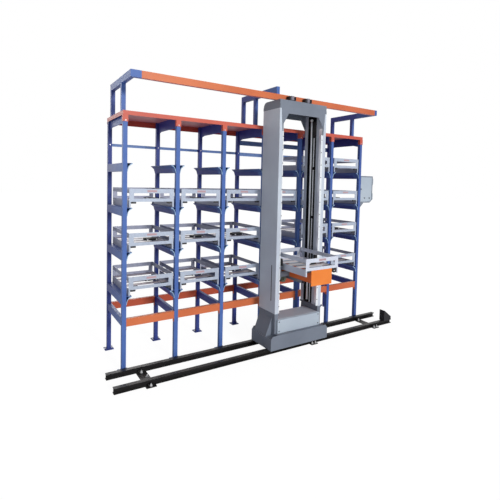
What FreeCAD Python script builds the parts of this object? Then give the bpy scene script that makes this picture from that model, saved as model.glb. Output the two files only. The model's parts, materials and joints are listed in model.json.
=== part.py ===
"""Automated tray rack with a rail-guided storage crane, as a parametric FreeCAD document.

Millimetres.  +X runs along the rack, +Y from the aisle into the rack, +Z up.
The origin is the underside centre of the front left foot plate.
"""
import FreeCAD, Part
import math
import os
import re

import Sketcher
from FreeCAD import Placement, Rotation, Vector

FRAMES = 7
LEVELS = 4
SLATS = 5
FILLED = {1: (0, 1, 2), 2: (0, 1, 2), 3: (0, 1, 2), 4: (2,), 5: (0, 1, 2, 3), 6: (0, 1, 2, 3)}
PULL_OUT_BAYS = (1, 2)

SIZES = {
    # rack frames
    "bay": 650,
    "rackDepth": 732,
    "post": 50,
    "postWall": 2.5,
    "footSide": 112,
    "footThick": 10,
    "anchorHole": 12,
    "anchorPitch": 84,
    "roofTop": 3070,
    "skin": 3,
    "plate": 4,
    "beamLow": 539,
    "beamHigh": 95,
    "beamDeep": 42,
    "crossWide": 40,
    "hookDrop": 40,
    # tray rails, from the lowest level up
    "lowestLevel": 900,
    "levelPitch": 523,
    "railDrop": 98,
    "wingReach": 63,
    "wingInset": 3,
    "kneeIn": 17,
    "kneeDown": 40,
    # roof and ties
    "lipHigh": 47,
    "fasciaHigh": 74,
    "capDrop": 75,
    "capSide": 7,
    "capThick": 4,
    "capCheek": 40,
    "archDrop": 160,
    "archRise": 26,
    "archSlope": 120,
    "tieHigh": 37,
    "tieLow": 238,
    "wideTie": 74,
    "wideTieLow": 389,
    "boltRadius": 7,
    "boltHead": 4,
    # overhead rail and its brackets
    "aisleRailLow": 3391,
    "aisleRailHigh": 80,
    "aisleRailFront": -306,
    "aisleRailDeep": 50,
    "elbow": 73,
    "hangerGap": 18,
    "rearUpright": 578,
    "leftUpright": 85,
    "middleUpright": 240,
    "rightUpright": 195,
    "rightRearUpright": 665,
    # floor rails
    "trackHigh": 65,
    "trackWide": 58,
    "trackFlange": 9,
    "trackWeb": 10,
    "frontTrack": -455,
    "backTrack": -104,
    "trackStart": -224,
    "trackEnd": 4254,
    "sleeperWide": 116,
    "sleeperThick": 10,
    "clampReach": 52,
    "leftSleeper": 170,
    "middleSleeper": 2540,
    "rightSleeper": 3840,
    "stopStart": 198,
    "stopLong": 165,
    "stopHigh": 170,
    "stopTail": 55,
    "stopWide": 96,
    "stopPlate": 10,
    # control cabinet
    "cabinetLong": 310,
    "cabinetDeep": 80,
    "cabinetFront": -10,
    "cabinetLow": 1970,
    "cabinetHigh": 455,
    "chamferLong": 61,
    "chamferHigh": 50,
    "doorThick": 14,
    "doorGap": 1,
    "bracketLeg": 85,
    "hingePin": 5,
    "hingeBarrel": 9,
    "hingeHigh": 70,
    "hingeInset": 40,
    "spinGap": 0.06,
    "glideGap": 0.3,
    # trays
    "trayWide": 550,
    "trayLong": 775,
    "trayHigh": 224,
    "trayFront": -23,
    "traySkin": 4,
    "topBar": 52,
    "sillLow": 71,
    "sillHigh": 110,
    "stile": 56,
    "legWide": 18,
    "runnerHigh": 88,
    "slatWide": 92,
    "slatThick": 5,
    "padLong": 56,
    "padDeep": 28,
    "padHigh": 22,
    "padInset": 27,
    "labelLong": 120,
    "labelHigh": 30,
    "labelThick": 1.5,
    # crane base
    "craneX": 2275,
    "baseLeft": 517,
    "baseRight": 471,
    "baseFront": -552,
    "baseBack": -85,
    "baseLow": 70,
    "baseSkin": 6,
    "deckTop": 260,
    "deckThick": 10,
    "sideDeck": 220,
    "cornerCut": 30,
    "leftRib": 100,
    "rightRib": 60,
    "ribRise": 245,
    "ribY": -404,
    "flareInset": 12,
    "wheelRadius": 60,
    "wheelWide": 24,
    "axleRadius": 15,
    "wheelBase": 720,
    "blockLong": 60,
    "blockDeep": 40,
    "blockDrop": 34,
    # crane columns
    "mastHalf": 406,
    "mastThick": 55,
    "mastFront": -468,
    "mastBack": -88,
    "mastLow": 520,
    "mastTop": 3256,
    "mastSkin": 5,
    "frontLip": 133,
    "backLip": 62,
    "slotY": -371,
    "slotWide": 6,
    "slotLow": 686,
    "slotHigh": 1165,
    "collarHigh": 20,
    "collarReach": 7,
    "pedestalBack": -107,
    "crownTop": 3370,
    "crownRound": 75,
    "gussetLow": 2960,
    "gussetFoot": 358,
    "gussetHead": 380,
    "gussetInner": 345,
    "gussetKnee": 3055,
    "archTop": 3194,
    "archHalf": 263,
    "guideDeep": 55,
    "guideThick": 15,
    "guideLow": 560,
    "guideTop": 3050,
    "coverTop": 440,
    "coverBack": -180,
    "panelHalf": 371,
    "panelDeep": 23,
    # lift drive
    "screwRadius": 15,
    "screwInset": 30,
    "screwY": -205,
    "screwTop": 3200,
    "journalWide": 44,
    "journalHigh": 30,
    "rodRadius": 8,
    "rodY": -262,
    "rodTop": 2940,
    "rodClamp": 34,
    "rodHead": 230,
    "rodHeadFront": 150,
    "rodHeadBack": 8,
    "lowClamp": 1770,
    "highClamp": 2480,
    "motorRadius": 55,
    "motorLong": 150,
    "gearboxLong": 120,
    # top guide rollers
    "rollerRadius": 36,
    "rollerHigh": 56,
    "rollerPin": 7,
    "rollerX": 141,
    "rollerShift": 19,
    "rollerSeat": 18,
    "seatWide": 120,
    "seatThick": 12,
    # lifting carriage and fork
    "homeFront": -918,
    "homeLevel": 1108,
    "bedHalf": 176,
    "bedFront": -910,
    "bedBack": -163,
    "bedSkin": 5,
    "bedLow": 1014,
    "bedTop": 1177,
    "bedPanelLow": 975,
    "channelFront": -690,
    "channelBack": -200,
    "channelHigh": 52,
    "channelWide": 46,
    "channelX": 123,
    "crossLow": 1020,
    "crossSize": 54,
    "shoeLow": 990,
    "shoeHigh": 175,
    "shoeThick": 18,
    "shoeCheek": 14,
    "nutSide": 44,
    "nutHigh": 46,
    "stageFront": -898,
    "stageLong": 728,
    "beamTop": 1150,
    "beamHalf": 99,
    "stageWeb": 8,
    "webDrop": 52,
    "middlePlate": 10,
    "topHalf": 150,
    "forkMotorX": -232,
    "forkMotorY": -392,
    "forkMotorRadius": 37,
    "forkMotorHigh": 82,
    "forkGearHigh": 48,
    "forkGearDeep": 40,
}

doc = FreeCAD.newDocument("TrayRack")
sheet = doc.addObject("Spreadsheet::Sheet", "Sizes")
for row, (alias, size) in enumerate(SIZES.items(), start=1):
    sheet.set(f"A{row}", alias)
    sheet.set(f"B{row}", str(size))
    sheet.setAlias(f"B{row}", alias)
doc.recompute()

WORD = re.compile(r"[A-Za-z]\w*")
TURNS = {
    "x": Rotation(Vector(0, 1, 0), 90),
    "y": Rotation(Vector(1, 0, 0), -90),
    "z": Rotation(),
}
nodes = []


def linked(formula):
    """The formula with every size tied to its cell in the sheet."""
    return WORD.sub(lambda word: "Sizes." + word.group(), str(formula))


def bind(item, prop, formula):
    item.setExpression(prop, linked(formula))


def place(item, x, y, z):
    for axis, formula in (("x", x), ("y", y), ("z", z)):
        bind(item, "Placement.Base." + axis, formula)


def slab(name, x, y, z):
    """A box from the low to the high formula on each axis."""
    item = doc.addObject("Part::Box", name)
    for prop, (low, high) in (("Length", x), ("Width", y), ("Height", z)):
        bind(item, prop, f"({high}) - ({low})")
    place(item, x[0], y[0], z[0])
    return item


def rod(name, axis, radius, length, x, y, z):
    """A cylinder that starts at a point and runs along an axis."""
    item = doc.addObject("Part::Cylinder", name)
    item.Placement = Placement(Vector(), TURNS[axis])
    bind(item, "Radius", radius)
    bind(item, "Height", length)
    place(item, x, y, z)
    return item


def cut(name, base, *tools):
    for number, tool in enumerate(tools):
        item = doc.addObject("Part::Cut", f"{name}_cut_{number}")
        item.Base = base
        item.Tool = tool
        base = item
    return base


def common(name, base, tool):
    item = doc.addObject("Part::Common", name)
    item.Base = base
    item.Tool = tool
    return item


def fuse(name, *shapes):
    item = doc.addObject("Part::MultiFuse", name)
    item.Shapes = list(shapes)
    return item


def tube(name, axis, x, y, z, wall):
    """A box section that is open at both ends of the axis."""
    outer = {"x": x, "y": y, "z": z}
    inner = {key: (f"{low} + {wall}", f"{high} - {wall}") for key, (low, high) in outer.items()}
    inner[axis] = outer[axis]
    hollow = slab(name + "_hollow", inner["x"], inner["y"], inner["z"])
    return cut(name, slab(name + "_outside", x, y, z), hollow)


def gather(name, parts, x="0", y="0", z="0"):
    item = doc.addObject("Part::Compound", name)
    item.Links = list(parts)
    place(item, x, y, z)
    return item


def node(label, parts, x="0", y="0", z="0"):
    """One named sub-part: the solids that the real object holds together as one piece or set."""
    item = gather("node_" + label, parts, x, y, z)
    item.Label = label
    nodes.append(item)
    return item


def span(centre, width):
    return f"{centre} - ({width})/2", f"{centre} + ({width})/2"


def sided(side, near, far):
    """The span from near to far on the +X side, or its mirror image on the -X side."""
    return (f"{near}", f"{far}") if side > 0 else (f"-({far})", f"-({near})")


def profile(name, plane, corners, thick, offset):
    """A flat outline in the XZ or YZ plane, padded from the offset towards +Y or +X."""
    body = doc.addObject("PartDesign::Body", name)
    sketch = body.newObject("Sketcher::SketchObject", name + "_outline")
    datum = next(item for item in body.Origin.OriginFeatures if item.Role == plane)
    sketch.AttachmentSupport = [(datum, "")]
    sketch.MapMode = "FlatFace"
    count = len(corners)
    ring = [Vector(math.cos(2 * math.pi * n / count), math.sin(2 * math.pi * n / count), 0) for n in range(count)]
    for number, start in enumerate(ring):
        sketch.addGeometry(Part.LineSegment(start, ring[(number + 1) % count]), False)
    for number in range(count):
        sketch.addConstraint(Sketcher.Constraint("Coincident", number, 2, (number + 1) % count, 1))
    for number, (start, corner) in enumerate(zip(ring, corners)):
        across = sketch.addConstraint(Sketcher.Constraint("DistanceX", -1, 1, number, 1, start.x))
        upwards = sketch.addConstraint(Sketcher.Constraint("DistanceY", -1, 1, number, 1, start.y))
        bind(sketch, f"Constraints[{across}]", corner[0])
        bind(sketch, f"Constraints[{upwards}]", corner[1])
    pad = body.newObject("PartDesign::Pad", name + "_pad")
    pad.Profile = sketch
    pad.Reversed = plane == "XZ_Plane"
    bind(pad, "Length", thick)
    bind(body, "Placement.Base.y" if plane == "XZ_Plane" else "Placement.Base.x", offset)
    return body


# ---------------------------------------------------------------- rack frames
HALF_POST = "post/2"
UNDER_ROOF = "roofTop - skin"
POST_FRONT = "-post/2"
POST_BACK = "rackDepth + post/2"
RACK_END = f"{FRAMES - 1}*bay"
BETWEEN_POSTS = ("post/2", "rackDepth - post/2")
RUN = ("-post/2 + wingInset", "rackDepth + post/2 - wingInset")


def upright(name, y):
    post = tube(name, "z", span("0", "post"), span(y, "post"), ("footThick", UNDER_ROOF), "postWall")
    foot = slab(name + "_foot", span("0", "footSide"), span(y, "footSide"), ("0", "footThick"))
    holes = [
        rod(f"{name}_hole_{number}", "z", "anchorHole/2", "footThick", f"{side}*anchorPitch/2", y, "0")
        for number, side in enumerate((-1, 1))
    ]
    return [post, cut(name + "_foot", foot, *holes)]


def rail_web():
    """The tray rail between the posts: two webs and a top, open below."""
    webs = [slab("rail_web", sided(side, "post/2 - skin", HALF_POST), BETWEEN_POSTS, ("-railDrop", "0"))
            for side in (-1, 1)]
    top = slab("rail_top", ("-post/2 + skin", "post/2 - skin"), BETWEEN_POSTS, ("-skin", "0"))
    return webs + [top]


def rail_wing(side):
    """The tray's ledge on one side, with a folded brace under it."""
    ledge = slab("ledge", sided(side, HALF_POST, "post/2 + wingReach"), RUN, ("-plate", "0"))
    foot, knee, tip = ("post/2", "-railDrop"), ("post/2 + kneeIn", "-kneeDown"), ("post/2 + wingReach - skin", "-plate")
    strips = []
    for low, high in ((foot, knee), (knee, tip)):
        ends = (low[0], low[1]), (f"{low[0]} + skin", low[1]), (f"{high[0]} + skin", high[1]), (high[0], high[1])
        corners = [(f"{side}*({x})", z) for x, z in ends]
        strips.append(profile("brace", "XZ_Plane", corners, f"({RUN[1]}) - ({RUN[0]})", RUN[0]))
    return [ledge] + strips


def at_levels(name, parts):
    return [gather(name, parts, z=f"lowestLevel + {level}*levelPitch") for level in range(LEVELS)]


uprights = upright("front_post", "0") + upright("rear_post", "rackDepth")
cross_member = tube("cross_member", "y", span("0", "crossWide"), BETWEEN_POSTS,
                    ("beamLow", "beamLow + beamHigh"), "postWall")
arch = profile("arch_plate", "YZ_Plane", [
    (BETWEEN_POSTS[0], UNDER_ROOF),
    (BETWEEN_POSTS[0], f"{UNDER_ROOF} - archDrop"),
    (f"{BETWEEN_POSTS[0]} + archSlope", f"{UNDER_ROOF} - archDrop + archRise"),
    (f"{BETWEEN_POSTS[1]} - archSlope", f"{UNDER_ROOF} - archDrop + archRise"),
    (BETWEEN_POSTS[1], f"{UNDER_ROOF} - archDrop"),
    (BETWEEN_POSTS[1], UNDER_ROOF),
], "plate", "-plate/2")
core = uprights + [cross_member, arch] + at_levels("rails", rail_web())
left_wings = at_levels("left_wings", rail_wing(-1))
right_wings = at_levels("right_wings", rail_wing(1))

for number in range(FRAMES):
    parts = list(core)
    if number > 0:
        parts += left_wings
    if number < FRAMES - 1:
        parts += right_wings
    node(f"rack_frame_{number + 1}", parts, x=f"{number}*bay")

# ---------------------------------------------------------------- roof, beams and ties
ROOF_X = ("-post/2 - skin", f"{RACK_END} + post/2 + skin")
LIP_Z = (f"{UNDER_ROOF} - lipHigh", UNDER_ROOF)
INSIDE_LIPS = (POST_FRONT, POST_BACK)
node("roof", [
    slab("roof_sheet", ROOF_X, ("-post/2 - skin", f"{POST_BACK} + skin"), (UNDER_ROOF, "roofTop")),
    slab("front_lip", ROOF_X, ("-post/2 - skin", POST_FRONT), LIP_Z),
    slab("left_lip", (ROOF_X[0], "-post/2"), INSIDE_LIPS, LIP_Z),
    slab("right_lip", (f"{RACK_END} + post/2", ROOF_X[1]), INSIDE_LIPS, LIP_Z),
    slab("rear_fascia", ROOF_X, (POST_BACK, f"{POST_BACK} + skin"), (f"{UNDER_ROOF} - fasciaHigh", UNDER_ROOF)),
])

CAP_Z = (f"{UNDER_ROOF} - lipHigh - capDrop", f"{UNDER_ROOF} - lipHigh")


post_cap = [slab("cap_face", span("0", "post + 2*capSide"), ("-post/2 - capThick", POST_FRONT), CAP_Z)]
for side in (-1, 1):
    post_cap.append(slab("cap_cheek", sided(side, HALF_POST, "post/2 + capSide"),
                         (POST_FRONT, "-post/2 + capCheek"), CAP_Z))
node("post_caps", [gather("caps", post_cap, x=f"{number}*bay") for number in range(FRAMES)])

BEAM_Z = ("beamLow", "beamLow + beamHigh")
HOOK_Z = ("beamLow - hookDrop", "beamLow + beamHigh")


def lower_beam(name, y):
    """A beam between two posts, with a plate at each end that hooks onto the post."""
    ends = (f"{HALF_POST} + plate", f"bay - {HALF_POST} - plate")
    beam = tube(name, "x", ends, y, BEAM_Z, "postWall")
    hooks = [slab(name + "_hook", x, y, HOOK_Z) for x in ((HALF_POST, ends[0]), (ends[1], f"bay - {HALF_POST}"))]
    return [beam] + hooks


front_beam = lower_beam("front_beam", ("-beamDeep/2", "beamDeep/2"))
rear_beam = lower_beam("rear_beam", ("rackDepth - beamDeep/2", "rackDepth + beamDeep/2"))
node("lower_beams", [
    gather("beam_pair", front_beam + rear_beam, x=f"{number}*bay") for number in range(FRAMES - 1)
])

MIDDLE_FRAME = f"{FRAMES // 2}*bay"
TIE_Y = (POST_BACK, f"{POST_BACK} + plate")
TOP_LEVEL = f"lowestLevel + {LEVELS - 1}*levelPitch"
TIE_LOW = f"{TOP_LEVEL} + tieLow"
WIDE_LOW = f"{TOP_LEVEL} + wideTieLow"
TIE_Z = (TIE_LOW, f"{TIE_LOW} + tieHigh")
RIGHT_TIES = (MIDDLE_FRAME, f"{RACK_END} + post/2")
node("rear_ties", [
    slab("left_tie", ("-post/2", MIDDLE_FRAME), TIE_Y, TIE_Z),
    slab("right_tie", RIGHT_TIES, TIE_Y, (f"{TIE_LOW} - tieHigh/2", TIE_Z[1])),
    slab("wide_tie", RIGHT_TIES, TIE_Y, (WIDE_LOW, f"{WIDE_LOW} + wideTie")),
])
node("tie_bolts", [
    rod("tie_bolt", "y", "boltRadius", "boltHead", f"{number}*bay", "rackDepth - post/2 - boltHead",
        f"{TIE_LOW} + tieHigh/2")
    for number in range(FRAMES)
])

# ---------------------------------------------------------------- overhead rail
AISLE_Y = ("aisleRailFront", "aisleRailFront + aisleRailDeep")
AISLE_Z = ("aisleRailLow", "aisleRailLow + aisleRailHigh")
OVER_Z = ("aisleRailLow + aisleRailHigh + hangerGap", "aisleRailLow + 2*aisleRailHigh + hangerGap")
AISLE_X = ("post/2 + elbow", f"{RACK_END} - post/2")


def gantry(name, front, rear, arm):
    """Two uprights on the roof that carry an arm, closed at both ends, out over the aisle."""
    posts = [tube(name + "_upright", "z", span("0", "post"), span(y, "post"), ("roofTop", arm[0]), "postWall")
             for y in (front, rear)]
    ends = (("aisleRailFront", "aisleRailFront + postWall"), (f"{rear} + post/2 - postWall", f"{rear} + post/2"))
    beam = tube(name + "_arm", "y", span("0", "post"), (ends[0][1], ends[1][0]), arm, "postWall")
    return posts + [beam] + [slab(name + "_cap", span("0", "post"), y, arm) for y in ends]


elbow = tube("elbow", "x", (HALF_POST, AISLE_X[0]), AISLE_Y, AISLE_Z, "postWall")
hanger = slab("hanger", span("0", "post"), AISLE_Y, (AISLE_Z[1], OVER_Z[0]))
node("rail_bracket_left", gantry("left_bracket", "leftUpright", "rearUpright", AISLE_Z) + [elbow])
node("rail_bracket_middle", gantry("middle_bracket", "middleUpright", "rearUpright", OVER_Z) + [hanger],
     x=MIDDLE_FRAME)
node("rail_bracket_right", gantry("right_bracket", "rightUpright", "rightRearUpright", AISLE_Z), x=RACK_END)
node("overhead_rail", [tube("overhead_rail", "x", AISLE_X, AISLE_Y, AISLE_Z, "postWall")])

# ---------------------------------------------------------------- floor rails
TRACK_X = ("trackStart", "trackEnd")
HALF_TRACK = "trackWide/2"


def track(name, y):
    """A floor rail of I section."""
    foot = slab(name + "_foot", TRACK_X, span(y, "trackWide"), ("0", "trackFlange"))
    web = slab(name + "_web", TRACK_X, span(y, "trackWeb"), ("trackFlange", "trackHigh - trackFlange"))
    head = slab(name + "_head", TRACK_X, span(y, "trackWide"), ("trackHigh - trackFlange", "trackHigh"))
    return [foot, web, head]


node("floor_rails", track("front_track", "frontTrack") + track("back_track", "backTrack"))

SLEEPER_Z = ("0", "sleeperThick")
SLEEPERS = ("leftSleeper", "middleSleeper", "rightSleeper")
FRONT_CLAMP_Y = (f"frontTrack - {HALF_TRACK} - clampReach", f"frontTrack - {HALF_TRACK}")
BACK_CLAMP_Y = (f"backTrack + {HALF_TRACK}", f"backTrack + {HALF_TRACK} + clampReach")
BETWEEN_TRACKS = (f"frontTrack + {HALF_TRACK}", f"backTrack - {HALF_TRACK}")
BOLT_Y = (
    f"frontTrack - {HALF_TRACK} - clampReach/2",
    f"frontTrack + {HALF_TRACK} + clampReach/2",
    f"backTrack - {HALF_TRACK} - clampReach/2",
    f"backTrack + {HALF_TRACK} + clampReach/2",
)
ties = []
bolts = []
for centre in SLEEPERS:
    spots = {FRONT_CLAMP_Y: BOLT_Y[:1], BETWEEN_TRACKS: BOLT_Y[1:3]}
    if centre == SLEEPERS[0]:
        spots[BACK_CLAMP_Y] = BOLT_Y[3:]
    for y, bolts_y in spots.items():
        ties.append(slab("sleeper", span(centre, "sleeperWide"), y, SLEEPER_Z))
        bolts += [rod("sleeper_bolt", "z", "boltRadius", "boltHead", centre, bolt_y, "sleeperThick") for bolt_y in bolts_y]
node("rail_sleepers", ties)
node("sleeper_bolts", bolts)

STOP_X = ("trackEnd - stopStart", "trackEnd - stopStart + stopLong")
STOP_Y = span("frontTrack", "stopWide")
STOP_BASE = "trackHigh + stopPlate"
gusset = [
    (f"{STOP_X[0]} + stopPlate", STOP_BASE),
    (STOP_X[1], STOP_BASE),
    (STOP_X[1], "trackHigh + stopTail"),
    (f"{STOP_X[0]} + stopPlate", "trackHigh + stopHigh"),
]
node("end_stop", [
    slab("stop_base", STOP_X, STOP_Y, ("trackHigh", STOP_BASE)),
    slab("stop_buffer", (STOP_X[0], f"{STOP_X[0]} + stopPlate"), STOP_Y, (STOP_BASE, "trackHigh + stopHigh")),
    profile("stop_gusset", "XZ_Plane", gusset, "stopPlate", STOP_Y[0]),
    profile("stop_gusset", "XZ_Plane", gusset, "stopPlate", f"{STOP_Y[1]} - stopPlate"),
])

# ---------------------------------------------------------------- control cabinet
CAB_LEFT = f"{RACK_END} + post/2"
CAB_RIGHT = f"{CAB_LEFT} + cabinetLong"
CAB_TOP = "cabinetLow + cabinetHigh"
CHAMFER = (f"{CAB_RIGHT} - chamferLong", "cabinetLow + chamferHigh")
CAB_BACK = "cabinetFront + cabinetDeep"
DOOR_BACK = "cabinetFront + doorThick"
WALL_Y = (f"{DOOR_BACK} + doorGap", f"{CAB_BACK} - skin")
PIN_X = f"({CAB_RIGHT} + hingeBarrel)"
PIN_Y = "(cabinetFront + doorThick/2)"
HINGES = (f"{CHAMFER[1]} + hingeInset", f"{CAB_TOP} - hingeInset - hingeHigh")


def cabinet_outline(left, right):
    """The front view of the cabinet, with its lower right corner cut off."""
    return [
        (left, CAB_TOP),
        (left, "cabinetLow"),
        (f"{right} - chamferLong", "cabinetLow"),
        (right, CHAMFER[1]),
        (right, CAB_TOP),
    ]


def hinge_bracket(name, z):
    """A boss on the cabinet's side that holds a hinge pin from below."""
    seat = (f"{z} - glideGap - hingeHigh/2", f"{z} - glideGap")
    boss = rod(name + "_boss", "z", "hingeBarrel", "hingeHigh/2", PIN_X, PIN_Y, seat[0])
    arm = slab(name + "_arm", (CAB_RIGHT, PIN_X), (f"{PIN_Y} + hingePin", f"{WALL_Y[0]} + 2*hingeBarrel"), seat)
    pin = rod(name + "_pin", "z", "hingePin", "hingeHigh + 2*glideGap", PIN_X, PIN_Y, seat[1])
    return [fuse(name, boss, arm), pin]


slope = [
    (CHAMFER[0], "cabinetLow"),
    (CAB_RIGHT, CHAMFER[1]),
    (f"{CAB_RIGHT} - skin", CHAMFER[1]),
    (CHAMFER[0], "cabinetLow + skin"),
]
node("cabinet_box", [
    profile("cabinet_back", "XZ_Plane", cabinet_outline(CAB_LEFT, CAB_RIGHT), "skin", WALL_Y[1]),
    slab("cabinet_roof", (CAB_LEFT, CAB_RIGHT), WALL_Y, (f"{CAB_TOP} - skin", CAB_TOP)),
    slab("cabinet_left", (CAB_LEFT, f"{CAB_LEFT} + skin"), WALL_Y, ("cabinetLow + skin", f"{CAB_TOP} - skin")),
    slab("cabinet_right", (f"{CAB_RIGHT} - skin", CAB_RIGHT), WALL_Y, (CHAMFER[1], f"{CAB_TOP} - skin")),
    slab("cabinet_floor", (CAB_LEFT, CHAMFER[0]), WALL_Y, ("cabinetLow", "cabinetLow + skin")),
    profile("cabinet_slope", "XZ_Plane", slope, f"({WALL_Y[1]}) - ({WALL_Y[0]})", WALL_Y[0]),
    *hinge_bracket("low_bracket", HINGES[0]),
    *hinge_bracket("high_bracket", HINGES[1]),
])
node("cabinet_bracket", [
    profile("corner_bracket", "XZ_Plane", [
        (CAB_LEFT, "cabinetLow - bracketLeg"),
        (f"{CAB_LEFT} + bracketLeg", "cabinetLow"),
        (CAB_LEFT, "cabinetLow"),
    ], "bracketLeg/2", "-post/2 + plate"),
])


def hinge_barrel(name, z):
    ring = rod(name + "_ring", "z", "hingeBarrel", "hingeHigh", PIN_X, PIN_Y, z)
    leaf = slab(name + "_leaf", (f"{CAB_RIGHT} - glideGap", PIN_X), span(PIN_Y, "hingePin*2"), (z, f"{z} + hingeHigh"))
    bore = rod(name + "_bore", "z", "hingePin + spinGap", "hingeHigh", PIN_X, PIN_Y, z)
    return cut(name, fuse(name + "_body", ring, leaf), bore)


node("cabinet_door", [
    profile("door_leaf", "XZ_Plane", cabinet_outline(f"{CAB_LEFT} + doorGap", f"{CAB_RIGHT} - glideGap"),
            "doorThick", "cabinetFront"),
    hinge_barrel("low_barrel", HINGES[0]),
    hinge_barrel("high_barrel", HINGES[1]),
])

# ---------------------------------------------------------------- trays
HALF_TRAY = "trayWide/2"
WALLS = {"front": ("0", "traySkin"), "back": ("trayLong - traySkin", "trayLong")}
TRAY_RUN = ("traySkin", "trayLong - traySkin")
HALF_WINDOW = "trayWide/2 - stile"
tray = []
for wall, y in WALLS.items():
    tray.append(slab(wall + "_bar", span("0", "trayWide"), y, ("trayHigh - topBar", "trayHigh")))
    tray.append(slab(wall + "_sill", span("0", "trayWide"), y, ("sillLow", "sillHigh")))
    for side in (-1, 1):
        tray.append(slab(wall + "_stile", sided(side, HALF_WINDOW, HALF_TRAY), y, ("sillHigh", "trayHigh - topBar")))
        tray.append(slab(wall + "_leg", sided(side, "trayWide/2 - legWide", HALF_TRAY), y, ("0", "sillLow")))
for side in (-1, 1):
    skin = sided(side, "trayWide/2 - traySkin", HALF_TRAY)
    tray.append(slab("side_bar", skin, TRAY_RUN, ("trayHigh - topBar", "trayHigh")))
    tray.append(slab("runner", skin, TRAY_RUN, ("0", "runnerHigh")))
for number in range(SLATS):
    start = f"traySkin + {number}*(trayLong - 2*traySkin - slatWide)/{SLATS - 1}"
    tray.append(slab("slat", span("0", "trayWide - 2*traySkin"), (start, f"{start} + slatWide"),
                     ("sillLow", "sillLow + slatThick")))
for side in (-1, 1):
    pad = sided(side, "trayWide/2 - stile - padInset", "trayWide/2 - stile - padInset + padLong")
    tray.append(slab("pad", pad, ("traySkin", "traySkin + padDeep"), ("sillLow - padHigh", "sillLow")))
tray.append(slab("label_plate", span("0", "labelLong"), ("-labelThick", "0"),
                 ("trayHigh - topBar/2 - labelHigh/2", "trayHigh - topBar/2 + labelHigh/2")))

stored = {}
for bay_number, levels in FILLED.items():
    for level in levels:
        place_of = (f"({bay_number} - 0.5)*bay", "trayFront", f"lowestLevel + {level}*levelPitch + glideGap")
        stored[bay_number, level] = place_of
for bay_number in PULL_OUT_BAYS:
    for level in FILLED[bay_number]:
        node(f"tray_bay_{bay_number}_level_{level + 1}", tray, *stored[bay_number, level])
for pair in ((3, 4), (5, 6)):
    group = [gather("stored_tray", tray, *where) for (bay_number, level), where in stored.items() if bay_number in pair]
    node(f"trays_bays_{pair[0]}_{pair[1]}", group)

# ---------------------------------------------------------------- crane base
BASE_Y = ("baseFront", "baseBack")
IN_BASE = ("baseFront + baseSkin", "baseBack - baseSkin")
SIDE_UNDER = "sideDeck - deckThick"
DECK_Z = ("deckTop - deckThick", "deckTop")
skirt_outline = [
    ("-baseLeft", "baseLow"),
    ("baseRight", "baseLow"),
    ("baseRight", "sideDeck"),
    ("baseRight - cornerCut", "deckTop"),
    ("cornerCut - baseLeft", "deckTop"),
    ("-baseLeft", "sideDeck"),
]
node("crane_skirt", [
    profile("skirt_front", "XZ_Plane", skirt_outline, "baseSkin", BASE_Y[0]),
    profile("skirt_back", "XZ_Plane", skirt_outline, "baseSkin", IN_BASE[1]),
    slab("skirt_left", ("-baseLeft", "baseSkin - baseLeft"), IN_BASE, ("baseLow", SIDE_UNDER)),
    slab("skirt_right", ("baseRight - baseSkin", "baseRight"), IN_BASE, ("baseLow", SIDE_UNDER)),
], x="craneX")
node("crane_deck", [
    slab("deck", ("-mastHalf", "mastHalf"), IN_BASE, DECK_Z),
    slab("left_deck", ("-baseLeft", "-mastHalf"), IN_BASE, (SIDE_UNDER, "sideDeck")),
    slab("right_deck", ("mastHalf", "baseRight"), IN_BASE, (SIDE_UNDER, "sideDeck")),
    *[slab("deck_step", sided(side, "mastHalf - baseSkin", "mastHalf"), IN_BASE, (SIDE_UNDER, DECK_Z[0]))
      for side in (-1, 1)],
], x="craneX")

AXLE_Z = "(trackHigh + glideGap + wheelRadius)"
AXLE_Y = ("frontTrack + wheelWide/2", "backTrack - wheelWide/2")
blocks = []
for side in (-1, 1):
    axle_x = f"{side}*wheelBase/2"
    for y in ((f"{AXLE_Y[0]} + glideGap", f"{AXLE_Y[0]} + glideGap + blockDeep"),
              (f"{AXLE_Y[1]} - glideGap - blockDeep", f"{AXLE_Y[1]} - glideGap")):
        block = slab("axle_block", span(axle_x, "blockLong"), y, (f"{AXLE_Z} - blockDrop", "deckTop - deckThick"))
        blocks.append(cut("axle_block", block, rod("axle_bore", "y", "axleRadius + spinGap", "blockDeep",
                                                   axle_x, y[0], AXLE_Z)))
    node("wheelset_left" if side < 0 else "wheelset_right", [
        rod("front_wheel", "y", "wheelRadius", "wheelWide", axle_x, "frontTrack - wheelWide/2", AXLE_Z),
        rod("axle", "y", "axleRadius", f"{AXLE_Y[1]} - ({AXLE_Y[0]})", axle_x, AXLE_Y[0], AXLE_Z),
        rod("back_wheel", "y", "wheelRadius", "wheelWide", axle_x, AXLE_Y[1], AXLE_Z),
    ], x="craneX")
node("axle_blocks", blocks, x="craneX")

# ---------------------------------------------------------------- crane columns
MAST_Y = ("mastFront", "mastBack")
MAST_Z = ("mastLow", "mastTop")
MAST_IN = "(mastHalf - mastThick)"
PEDESTAL_TOP = "mastLow - collarHigh"


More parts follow.
